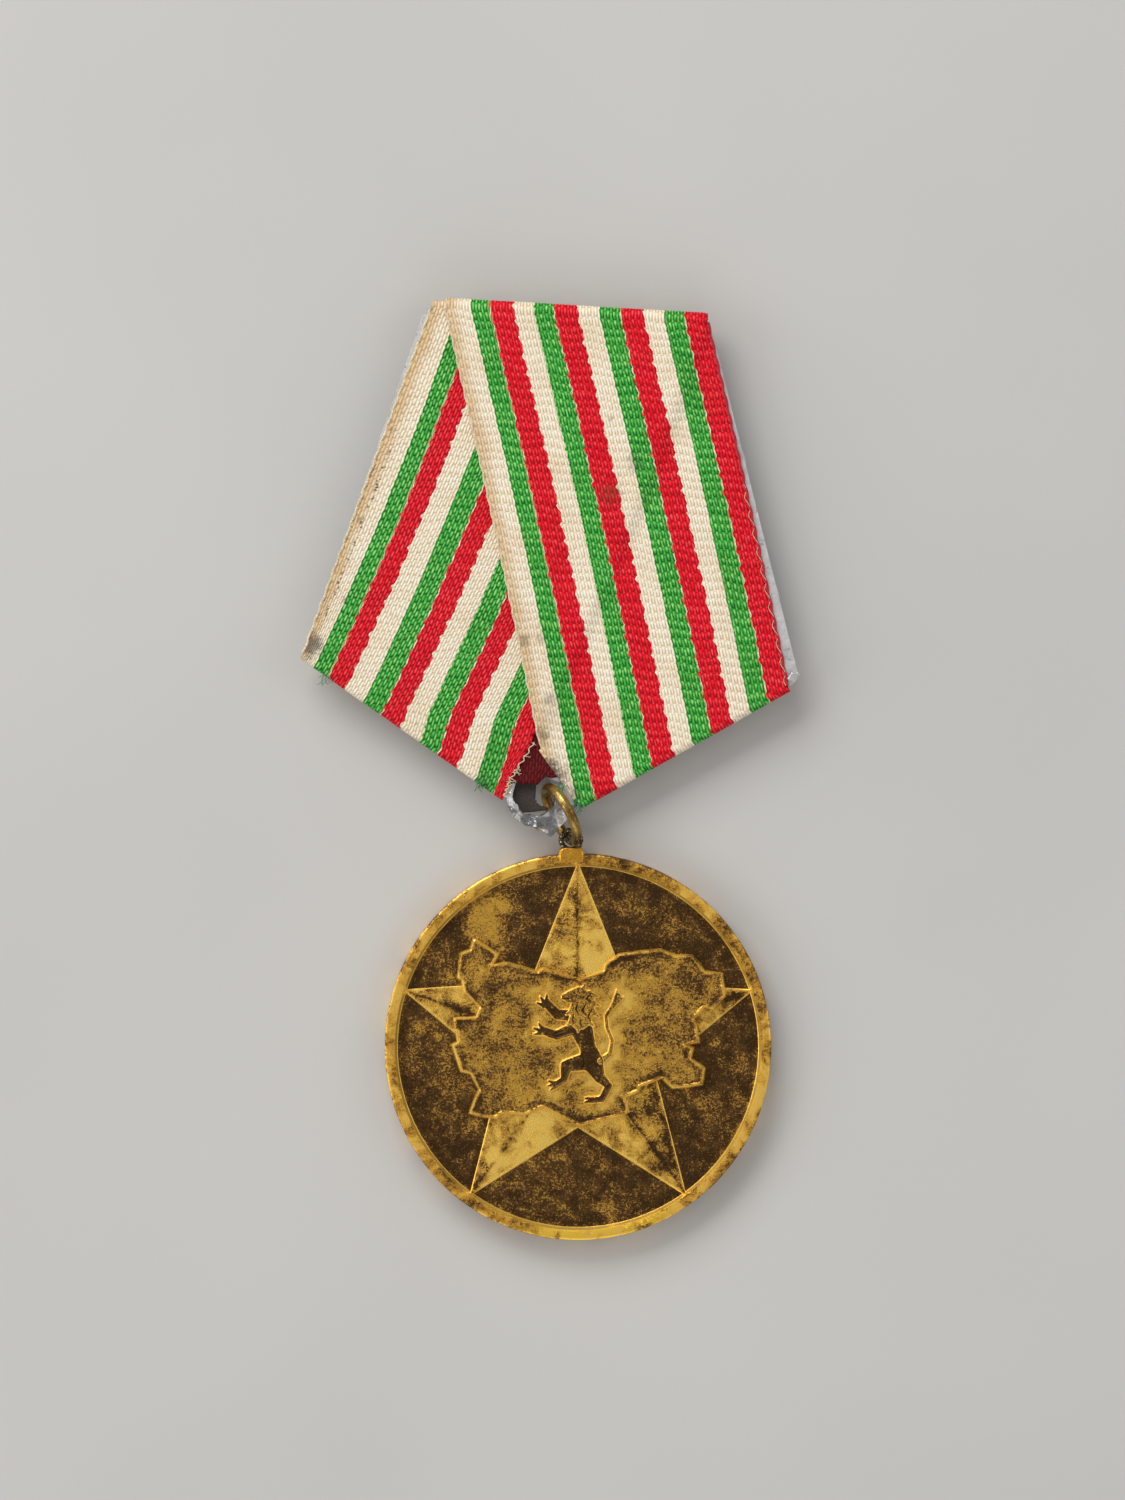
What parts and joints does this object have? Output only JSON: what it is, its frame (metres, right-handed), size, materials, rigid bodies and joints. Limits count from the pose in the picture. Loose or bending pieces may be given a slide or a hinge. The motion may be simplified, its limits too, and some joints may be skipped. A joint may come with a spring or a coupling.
{
  "type": "military service medal",
  "caption": "Struck round medal with a star, plaque and lion relief, hung by a wire ring from a folded five-sided striped ribbon on an aluminium plate with a brooch pin.",
  "frame": {"origin": "middle of the whole medal's box seen from above, on the surface it lies on", "axes": "+Y towards the ribbon's top edge, +Z out of the face, +X to the right as seen from the front"},
  "size_m": [0.0466, 0.0864, 0.0063],
  "materials": {
    "aluminium_plate": "thin sheet, scratched and a little crumpled",
    "striped_ribbon": "ribbed silk weave in equal white, green and red stripes",
    "brooch_steel": "plain bright steel",
    "brass_wire": "worn drawn wire",
    "gilt_brass": "struck gilt brass with dark mottled patina"
  },
  "bodies": {
    "ribbon_mount": {"backing_plate": "aluminium_plate", "ribbon": "striped_ribbon", "brooch_bar": "brooch_steel", "brooch_rivets": "aluminium_plate", "pin_catch": "brooch_steel", "hinge_rivet": "brooch_steel"},
    "stem": {"pin_stem": "brooch_steel"},
    "ring": {"suspension_ring": "brass_wire"},
    "medal": {"medallion": "gilt_brass", "medal_ear": "brass_wire"}
  },
  "joints": [
    {"name": "pin_stem_hinge", "type": "hinge", "parent": "ribbon_mount", "child": "stem", "pos_m": [-0.0135, 0.02187, 0.00085], "axis": [0, 1, 0], "range_deg": [0, 80]},
    {"name": "ring_swing", "type": "hinge", "parent": "ribbon_mount", "child": "ring", "pos_m": [0.00056, -0.00139, 0.00285], "axis": [0, 0, 1], "range_deg": [-45, 15]},
    {"name": "medal_swing", "type": "hinge", "parent": "ring", "child": "medal", "pos_m": [0.00205, -0.00373, 0.00313], "axis": [-0.824, -0.4951, 0.2756], "range_deg": [-45, 110]}
  ]
}
